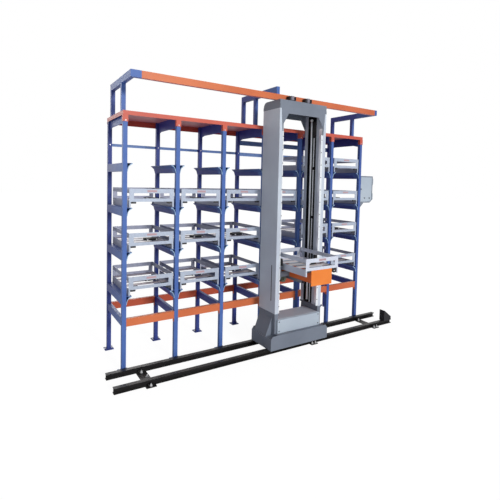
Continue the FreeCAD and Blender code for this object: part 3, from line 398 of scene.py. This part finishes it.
finishes = {name: powderCoat(name) for name in paints}
finishes.update({name: brushedSteel(name) for name in steels})
finishes["rollerPlastic"] = rollerPlastic()
finishes["storedTray"] = trayFinish("storedTray", tray["front"], rack["lowest"] + tray["lift"])
finishes["carriedTray"] = trayFinish("carriedTray", *tray["carried"][1:])
slotFinish = {
    "rack_blue": "rackBlue", "rack_orange": "rackOrange", "carriage_orange": "carriageOrange",
    "rail_black": "railBlack", "mast_grey": "mastGrey", "dark_grey": "darkGrey",
    "cabinet_grey": "cabinetGrey", "motor_green": "motorGreen", "cast_black": "castBlack",
    "guide_steel": "guideSteel", "fork_aluminium": "forkAluminium", "bolt_zinc": "boltZinc",
    "roller_plastic": "rollerPlastic", "tray_zinc": "storedTray",
}
ownFinish = {"carriage_tray": "carriedTray", "roof": "roofOrange", "post_caps": "roofOrange",
             "rear_ties": "litTieBlue"}


def dressNodes():
    slots = {part["node"]: part["material_slot"] for part in frame["record"]["subparts"]}
    for name, obj in nodes.items():
        finish = ownFinish.get(name, slotFinish[slots[name]])
        for slot in obj.material_slots:
            slot.material = finishes[finish]


dressNodes()
print("finishes:", len(finishes))


# helpers for the small fittings
def addPiece(name, build, finish, body):
    bmesh.ops.recalc_face_normals(build, faces=build.faces)
    mesh = bpy.data.meshes.new(name)
    build.to_mesh(mesh)
    build.free()
    mesh.materials.append(finishes[finish])
    piece = bpy.data.objects.new(name, mesh)
    bpy.context.scene.collection.objects.link(piece)
    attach(piece, body)


def addBlock(build, low, high, bevel=0.0):
    low, high = Vector(low), Vector(high)
    place = Matrix.Translation((low + high) / 2) @ Matrix.Diagonal((*(high - low), 1))
    made = bmesh.ops.create_cube(build, size=1, matrix=place)
    if bevel:
        edges = list({edge for vert in made["verts"] for edge in vert.link_edges})
        bmesh.ops.bevel(build, geom=edges, offset=bevel, segments=2, profile=0.5, affect="EDGES", material=-1)


def addRod(build, start, end, radius, sides=16, tip=None):
    start, end = Vector(start), Vector(end)
    along = end - start
    place = Matrix.Translation((start + end) / 2) @ along.to_track_quat("Z", "Y").to_matrix().to_4x4()
    bmesh.ops.create_cone(build, cap_ends=True, segments=sides, radius1=radius,
                          radius2=radius if tip is None else tip, depth=along.length, matrix=place)


# a bolt's washer, hexagon head and stud, in shares of the head's radius
boltShape = {"washer": 0.3, "washerRadius": 1.3, "washerSides": 12, "head": 1.1, "straight": 0.8, "top": 0.8,
             "headSides": 6, "studRadius": 0.5, "studSides": 8}


def addBolt(build, seat, axis, radius, stud=0.0):
    look = boltShape
    seat, axis = Vector(seat), Vector(axis)
    washer, head = look["washer"] * radius, look["head"] * radius
    slope, top = washer + look["straight"] * head, washer + head
    addRod(build, seat, seat + axis * washer, look["washerRadius"] * radius, look["washerSides"])
    addRod(build, seat + axis * washer, seat + axis * slope, radius, look["headSides"])
    addRod(build, seat + axis * slope, seat + axis * top, radius, look["headSides"], look["top"] * radius)
    if stud:
        end = seat + axis * (top + stud)
        addRod(build, seat + axis * top, end, look["studRadius"] * radius, look["studSides"])


# latches inside the trays: dark blocks with white buttons that stand for painted highlights, from each tray's
# front left lower corner
latch = {
    "blocks": (((0.300, 0.300, 0.0765), (0.460, 0.420, 0.104)),
               ((0.060, 0.060, 0.0765), (0.130, 0.090, 0.096)),
               ((0.420, 0.050, 0.0765), (0.500, 0.084, 0.100))),
    "bevel": 0.003,
    "highlightButtons": ((0.320, 0.296, 0.090), (0.440, 0.296, 0.090), (0.460, 0.046, 0.088)),
    "radius": 0.010,
    "long": 0.006,
    "sides": 10,
}
# levels that hold a tray in each bay, 0 for the lowest
trayFill = {1: (0, 1, 2), 2: (0, 1, 2), 3: (0, 1, 2), 4: (2,), 5: (0, 1, 2, 3), 6: (0, 1, 2, 3)}
pullBays = (1, 2)  # bays whose trays pull out, each a body of its own


def addLatches(name, body, corners):
    black, light = bmesh.new(), bmesh.new()
    deep, proud = Vector((0, latch["radius"], 0)), Vector((0, latch["long"], 0))
    for corner in (Vector(place) for place in corners):
        for low, high in latch["blocks"]:
            addBlock(black, corner + Vector(low), corner + Vector(high), latch["bevel"])
        for highlightButton in latch["highlightButtons"]:
            start = corner + Vector(highlightButton)
            addRod(light, start + deep, start - proud, latch["radius"], latch["sides"])
    addPiece(f"{name}_latches", black, "castBlack", body)
    addPiece(f"{name}_buttons", light, "knobWhite", body)


def addTrayLatches():
    kept = []
    for bayNumber, levels in trayFill.items():
        x = (bayNumber - 1) * rack["bay"] + tray["inset"]
        for level in levels:
            corner = (x, tray["front"], levelHeights[level] + tray["lift"])
            if bayNumber in pullBays:
                body = f"pull_bay_{bayNumber}_level_{level + 1}"
                addLatches(f"tray_{bayNumber}_{level + 1}", body, [corner])
            else:
                kept.append(corner)
    addLatches("kept_trays", "rack", kept)
    x, y, z = tray["carried"]
    addLatches("carried_tray", "fork_top", [(craneX + x, y, z)])


# roller under the sill of the carried tray, right of the orange bed, x from the crane's middle
trayRoller = {"x": 0.216, "y": (-0.913, -0.893), "z": 1.1445, "radius": 0.0305, "sides": 24,
              "hub": 0.009, "hubProud": 0.002, "hubSides": 12,
              "stayHalf": 0.008, "stayY": (-0.9155, -0.913), "stayZ": (1.150, 1.186)}


def addTrayRoller():
    look = trayRoller
    x, (front, back), z = craneX + look["x"], look["y"], look["z"]
    (near, far), (low, high) = look["stayY"], look["stayZ"]
    build = bmesh.new()
    addRod(build, (x, front, z), (x, back, z), look["radius"], look["sides"])
    addBlock(build, (x - look["stayHalf"], near, low), (x + look["stayHalf"], far, high))
    addPiece("tray_roller", build, "castBlack", "fork_top")
    build = bmesh.new()
    addRod(build, (x, front, z), (x, front - look["hubProud"], z), look["hub"], look["hubSides"])
    addPiece("tray_roller_hub", build, "boltZinc", "fork_top")


# switch boxes on the carriage's guide shoes, x from the crane's middle
switchBox = {"x": (0.288, 0.318), "y": (-0.462, -0.414), "z": (1.165, 1.262), "bevel": 0.004}


def addSwitchBoxes():
    build = bmesh.new()
    (front, back), (low, high) = switchBox["y"], switchBox["z"]
    for side in (-1, 1):
        near, far = sorted(craneX + side * edge for edge in switchBox["x"])
        addBlock(build, (near, front, low), (far, back, high), switchBox["bevel"])
    addPiece("shoe_switches", build, "castBlack", "carriage")


# light curved strips at the front of the tray rails: the folded sheet's edges, coloured light as a painted
# highlight
railEdge = {"reach": 0.061, "drop": 0.094, "top": -0.004, "thick": 0.009, "front": -0.0245, "back": -0.0221,
            "steps": 9}


def addRailEdges():
    look = railEdge
    strip = bmesh.new()
    inner, outer = look["drop"] - look["thick"], look["drop"]
    corners = ((look["front"], inner), (look["back"], inner), (look["back"], outer), (look["front"], outer))
    face = strip.faces.new([strip.verts.new((0, y, z)) for y, z in corners])
    bmesh.ops.spin(strip, geom=[face, *face.edges, *face.verts], cent=(0, 0, 0), axis=(0, -1, 0),
                   angle=math.pi / 2, steps=look["steps"], use_duplicate=False)
    bmesh.ops.scale(strip, vec=(look["reach"] / look["drop"], 1, 1), verts=strip.verts)
    pattern = bpy.data.meshes.new("railEdgePattern")
    strip.to_mesh(pattern)
    strip.free()
    build = bmesh.new()
    for frameNumber in range(rack["frames"]):
        for side in (-1, 1):
            if frameNumber + side in (-1, rack["frames"]):
                continue  # no bay on that side
            x = frameNumber * rack["bay"] + side * (rack["postHalf"] + look["reach"])
            for height in levelHeights:
                copy = pattern.copy()
                place = Matrix.Translation((x, 0, height + look["top"] - look["drop"]))
                copy.transform(place @ Matrix.Diagonal((side, 1, 1, 1)))
                build.from_mesh(copy)
                bpy.data.meshes.remove(copy)
    bpy.data.meshes.remove(pattern)
    addPiece("rail_edges", build, "paintedEdgeHighlight", "rack")


# bolts of the foot plates and of the caps on the front posts
anchorBolt = {"x": 0.042, "seat": 0.010, "radius": 0.010, "stud": 0.012}
capBolt = {"y": -0.029, "z": 2.958, "radius": 0.006}


def addRackBolts():
    build = bmesh.new()
    for frameNumber in range(rack["frames"]):
        x = frameNumber * rack["bay"]
        for y in (0, rack["depth"]):
            for side in (-1, 1):
                seat = (x + side * anchorBolt["x"], y, anchorBolt["seat"])
                addBolt(build, seat, (0, 0, 1), anchorBolt["radius"], anchorBolt["stud"])
        addBolt(build, (x, capBolt["y"], capBolt["z"]), (0, -1, 0), capBolt["radius"])
    addPiece("rack_bolts", build, "boltZinc", "rack")


# white covers over the guide rails, with their screws and those of the front cover panel
guideCover = {"spans": ((-0.352, -0.338), (0.316, 0.352)), "front": -0.4715, "back": -0.4685, "low": 0.53,
              "high": 2.957, "bevel": 0.0008}
guideScrew = {"first": 0.62, "last": 2.90, "pitch": 0.1745, "centres": (-0.345, 0.332), "proud": 0.002,
              "radius": 0.0065, "sides": 10}
panelScrew = {"x": 0.345, "heights": (0.286, 0.414), "y": -0.491, "proud": 0.003, "radius": 0.010,
              "tip": 0.7, "sides": 12}


def addCraneScrews():
    build = bmesh.new()
    look, y = guideScrew, guideCover["front"]
    count = int((look["last"] - look["first"]) / look["pitch"]) + 1
    for number in range(count):
        z = look["first"] + number * look["pitch"]
        for centre in look["centres"]:
            x = craneX + centre
            addRod(build, (x, y, z), (x, y - look["proud"], z), look["radius"], look["sides"])
    look, y = panelScrew, panelScrew["y"]
    for side in (-1, 1):
        x = craneX + side * look["x"]
        for z in look["heights"]:
            tip = look["radius"] * look["tip"]
            addRod(build, (x, y, z), (x, y - look["proud"], z), look["radius"], look["sides"], tip)
    addPiece("crane_screws", build, "screwDark", "crane")


def addGuideCovers():
    build = bmesh.new()
    look = guideCover
    for near, far in look["spans"]:
        addBlock(build, (craneX + near, look["front"], look["low"]),
                 (craneX + far, look["back"], look["high"]), look["bevel"])
    addPiece("guide_covers", build, "coverWhite", "crane")


# a thin black strip over the slot in the left column, the slot's painted shadow, x from the crane's middle
slotShadowStrip = {"x": (-0.4068, -0.4062), "y": (-0.378, -0.364), "z": (0.682, 1.169)}


def addSlotShadowStrip():
    build = bmesh.new()
    (left, right), (front, back), (low, high) = slotShadowStrip["x"], slotShadowStrip["y"], slotShadowStrip["z"]
    addBlock(build, (craneX + left, front, low), (craneX + right, back, high))
    addPiece("slot_shadow_strip", build, "castBlack", "crane")


# threads of the lift screws, x from the crane's middle
thread = {"x": 0.376, "y": -0.205, "radius": 0.0148, "crest": 0.0012, "root": 0.001, "half": 0.22,
          "pitch": 0.016, "low": 0.56, "high": 3.16, "steps": 10}


def addScrewThreads():
    look = thread
    half = look["pitch"] * look["half"]
    crest, root = look["radius"] + look["crest"], look["radius"] - look["root"]
    turns = int((look["high"] - look["low"]) / look["pitch"])
    for side, name in ((-1, "left"), (1, "right")):
        x = craneX + side * look["x"]
        build = bmesh.new()
        corners = ((root, -half), (crest, 0), (root, half))
        verts = [build.verts.new((x + reach, look["y"], look["low"] + rise)) for reach, rise in corners]
        face = build.faces.new(verts)
        bmesh.ops.spin(build, geom=[face, *face.edges, *verts], cent=(x, look["y"], 0), axis=(0, 0, 1),
                       dvec=(0, 0, look["pitch"] / look["steps"]), angle=turns * 2 * math.pi,
                       steps=turns * look["steps"], use_duplicate=False)
        addPiece(f"screw_thread_{name}", build, "guideSteel", f"screw_{name}")


# light grease knobs at the screws' upper bearings, x from the crane's middle
knob = {"x": 0.345, "y": -0.235, "z": 3.190, "radius": 0.023, "sides": 20, "rings": 12}


def addGreaseKnobs():
    build = bmesh.new()
    for side in (-1, 1):
        place = Matrix.Translation((craneX + side * knob["x"], knob["y"], knob["z"]))
        bmesh.ops.create_uvsphere(build, u_segments=knob["sides"], v_segments=knob["rings"],
                                  radius=knob["radius"], matrix=place)
    addPiece("grease_knobs", build, "knobWhite", "crane")


# bright sleeves on the guide rods beside the screws, broken at the rods' clamps
rodSleeve = {"x": 0.376, "y": -0.262, "radius": 0.0085, "sides": 20,
             "spans": ((0.521, 1.768), (1.806, 2.478), (2.516, 2.939))}


def addRodSleeves():
    build = bmesh.new()
    y = rodSleeve["y"]
    for side in (-1, 1):
        x = craneX + side * rodSleeve["x"]
        for low, high in rodSleeve["spans"]:
            addRod(build, (x, y, low), (x, y, high), rodSleeve["radius"], rodSleeve["sides"])
    addPiece("rod_sleeves", build, "guideSteel", "crane")


# housings beside the guide rollers: two cheeks, and a white cap, a bearing's end coloured as a painted
# highlight, with its reach, height and radius
housing = {"rollers": (-0.122, 0.160), "low": 3.383, "high": 3.452, "front": -0.379, "back": -0.309,
           "cheeks": ((-0.064, -0.040), (0.040, 0.050)), "bevel": 0.004, "cap": (0.060, 3.418, 0.013)}


def addRollerHousings():
    black, bright = bmesh.new(), bmesh.new()
    look = housing
    front, back = look["front"], look["back"]
    reach, z, radius = look["cap"]
    middle = (front + back) / 2
    for roller in look["rollers"]:
        x = craneX + roller
        for near, far in look["cheeks"]:
            addBlock(black, (x + near, front, look["low"]), (x + far, back, look["high"]), look["bevel"])
        addRod(bright, (x + look["cheeks"][1][1], middle, z), (x + reach, middle, z), radius)
    addPiece("roller_housings", black, "castBlack", "crane")
    addPiece("roller_housing_highlight_caps", bright, "knobWhite", "crane")


# fork gearmotor: cooling ribs, fan cover, and a terminal box placed from the motor's axis
motor = {"x": -0.232, "y": -0.392, "radius": 0.0405, "sides": 28, "ribs": (0.948, 1.008), "count": 8,
         "thick": 0.003, "cover": (0.932, 0.938), "coverRadius": 0.034,
         "box": ((-0.02, -0.062, 0.962), (0.02, -0.03, 1.0)), "bevel": 0.004}


def addMotorDetails():
    build = bmesh.new()
    look, x, y = motor, craneX + motor["x"], motor["y"]
    low, high = look["ribs"]
    for number in range(look["count"]):
        z = low + (high - low) * number / (look["count"] - 1)
        addRod(build, (x, y, z), (x, y, z + look["thick"]), look["radius"], look["sides"])
    low, high = look["cover"]
    addRod(build, (x, y, low), (x, y, high), look["coverRadius"], look["sides"])
    lowBox, highBox = ((x + corner[0], y + corner[1], corner[2]) for corner in look["box"])
    addBlock(build, lowBox, highBox, look["bevel"])
    addPiece("fork_motor_ribs", build, "motorGreen", "carriage")


# nuts on the sleepers, between the floor rails and in front of them
sleeperNut = {
    "places": ((0.170, -0.159), (0.170, -0.400), (0.196, -0.293), (0.170, -0.510),
               (2.510, -0.510), (2.570, -0.510), (2.540, -0.400), (2.540, -0.159),
               (3.840, -0.400), (3.840, -0.159), (3.810, -0.510), (3.870, -0.510)),
    "seat": 0.010,
    "radius": 0.013,
    "stud": 0.012,
}
railClip = {"centres": (0.170, 2.540, 3.840), "half": 0.030, "tracks": (-0.455, -0.104),
            "reach": (0.012, 0.040), "low": 0.009, "high": 0.021, "bevel": 0.003}


def addSleeperNuts():
    build = bmesh.new()
    for x, y in sleeperNut["places"]:
        seat = (x, y, sleeperNut["seat"])
        addBolt(build, seat, (0, 0, 1), sleeperNut["radius"], sleeperNut["stud"])
    addPiece("sleeper_nuts", build, "boltZinc", "rack")


def addRailClips():
    build = bmesh.new()
    look = railClip
    near, far = look["reach"]
    for x in look["centres"]:
        for track in look["tracks"]:
            for side in (-1, 1):
                front, back = sorted((track + side * near, track + side * far))
                addBlock(build, (x - look["half"], front, look["low"]),
                         (x + look["half"], back, look["high"]), look["bevel"])
    addPiece("rail_clips", build, "railBlack", "rack")


# cabinet door: a dark rim with one corner cut off, painted shade along the door's edge, two screws and a
# quarter-turn lock
doorShadeRim = {"left": 3.930, "right": 4.2315, "low": 1.974, "high": 2.421, "cutLong": 0.058, "cutHigh": 0.047,
           "front": -0.0134, "back": -0.0114, "wide": 0.014}
doorScrew = {"places": ((4.042, 2.05), (4.160, 2.05)), "radius": 0.0125, "tip": 0.009, "proud": 0.005}
doorLock = {"place": (3.952, 2.2), "radius": 0.012, "sides": 20, "proud": 0.004, "gripProud": 0.008,
            "gripHalf": (0.002, 0.009), "gripBevel": 0.001}


def addDoorShadeRim():
    look = doorShadeRim
    left, right, low, high = look["left"], look["right"], look["low"], look["high"]
    corners = [(left, low), (right - look["cutLong"], low), (right, low + look["cutHigh"]), (right, high),
               (left, high)]
    build = bmesh.new()
    face = build.faces.new([build.verts.new((x, look["back"], z)) for x, z in corners])
    build.normal_update()
    bmesh.ops.inset_region(build, faces=[face], thickness=look["wide"], use_boundary=True,
                           use_even_offset=True)
    bmesh.ops.delete(build, geom=[face], context="FACES_ONLY")
    made = bmesh.ops.extrude_face_region(build, geom=list(build.faces))
    lifted = [item for item in made["geom"] if isinstance(item, bmesh.types.BMVert)]
    bmesh.ops.translate(build, vec=(0, look["front"] - look["back"], 0), verts=lifted)
    addPiece("door_shade_rim", build, "darkGrey", "door")


def addDoorScrews():
    build = bmesh.new()
    face = doorShadeRim["back"]
    look = doorScrew
    for x, z in look["places"]:
        addRod(build, (x, face, z), (x, face - look["proud"], z), look["radius"], tip=look["tip"])
    look = doorLock
    (x, z), (wide, tall) = look["place"], look["gripHalf"]
    outer = face - look["proud"]
    addRod(build, (x, face, z), (x, outer, z), look["radius"], look["sides"])
    addBlock(build, (x - wide, face - look["gripProud"], z - tall), (x + wide, outer, z + tall),
             look["gripBevel"])
    addPiece("door_screws", build, "screwDark", "door")


addTrayLatches()
addTrayRoller()
addSwitchBoxes()
addRailEdges()
addRackBolts()
addCraneScrews()
addGuideCovers()
addSlotShadowStrip()
addScrewThreads()
addGreaseKnobs()
addRodSleeves()
addRollerHousings()
addMotorDetails()
addSleeperNuts()
addRailClips()
addDoorShadeRim()
addDoorScrews()
print("fittings added")


# floor, world and lamps
studio = {
    "floor": (250, 250, 250),
    "floorHalf": 60,
    "floorRough": 0.9,
    "shadowHide": 0.88,
    "glow": 1.07,
    "sky": 0.37,
    "key": {"strength": 1.85, "origin": (0.12, -1.0, 0.32), "angle": 12},
    "rear": {"strength": 0.9, "origin": (0.05, 1.0, 0.2), "angle": 30},
}


# most of the floor's light towards the camera is its own, so that the shadows on it stay faint
def addFloor():
    mesh = bpy.data.meshes.new("floor")
    build = bmesh.new()
    bmesh.ops.create_grid(build, x_segments=1, y_segments=1, size=studio["floorHalf"])
    build.to_mesh(mesh)
    build.free()
    floor = bpy.data.objects.new("floor", mesh)
    bpy.context.scene.collection.objects.link(floor)
    finish = Finish("floorPaint", Roughness=studio["floorRough"], Base_Color=colour(*studio["floor"]))
    camera = finish.node("ShaderNodeLightPath", output="Is Camera Ray")
    glow = finish.node("ShaderNodeEmission", None, {0: (1, 1, 1, 1), 1: studio["glow"]})
    painted = Sock(finish, finish.shader.outputs[0])
    mask = camera * studio["shadowHide"]
    mixed = finish.node("ShaderNodeMixShader", None, {0: mask, 1: painted, 2: glow})
    finish.feed(finish.tree.nodes["Material Output"].inputs[0], mixed)
    mesh.materials.append(finish.material)


def addSun(name, strength, origin, angle):
    data = bpy.data.lights.new(name, "SUN")
    data.energy = strength
    data.angle = math.radians(angle)
    lamp = bpy.data.objects.new(name, data)
    lamp.matrix_world = Vector(origin).to_track_quat("Z", "Y").to_matrix().to_4x4()
    bpy.context.scene.collection.objects.link(lamp)


# plain white where it is looked at, mirrored or seen through something, and a softer light for the rest
def addWorld():
    world = bpy.data.worlds.new("studio")
    bpy.context.scene.world = world
    world.use_nodes = True
    tree = world.node_tree
    tree.nodes.clear()
    path = tree.nodes.new("ShaderNodeLightPath")
    soft = tree.nodes.new("ShaderNodeBackground")
    plain = tree.nodes.new("ShaderNodeBackground")
    direct = tree.nodes.new("ShaderNodeMath")
    seen = tree.nodes.new("ShaderNodeMath")
    mixer = tree.nodes.new("ShaderNodeMixShader")
    out = tree.nodes.new("ShaderNodeOutputWorld")
    for background in (soft, plain):
        background.inputs[0].default_value = (1, 1, 1, 1)
    soft.inputs[1].default_value = studio["sky"]
    seen.use_clamp = True
    tree.links.new(path.outputs["Is Camera Ray"], direct.inputs[0])
    tree.links.new(path.outputs["Is Glossy Ray"], direct.inputs[1])
    tree.links.new(direct.outputs[0], seen.inputs[0])
    tree.links.new(path.outputs["Is Transmission Ray"], seen.inputs[1])
    tree.links.new(seen.outputs[0], mixer.inputs[0])
    tree.links.new(soft.outputs[0], mixer.inputs[1])
    tree.links.new(plain.outputs[0], mixer.inputs[2])
    tree.links.new(mixer.outputs[0], out.inputs[0])


addFloor()
addWorld()
addSun("keyLamp", **studio["key"])
addSun("rearLamp", **studio["rear"])
bpy.context.scene.view_settings.view_transform = "Standard"
print("studio set")
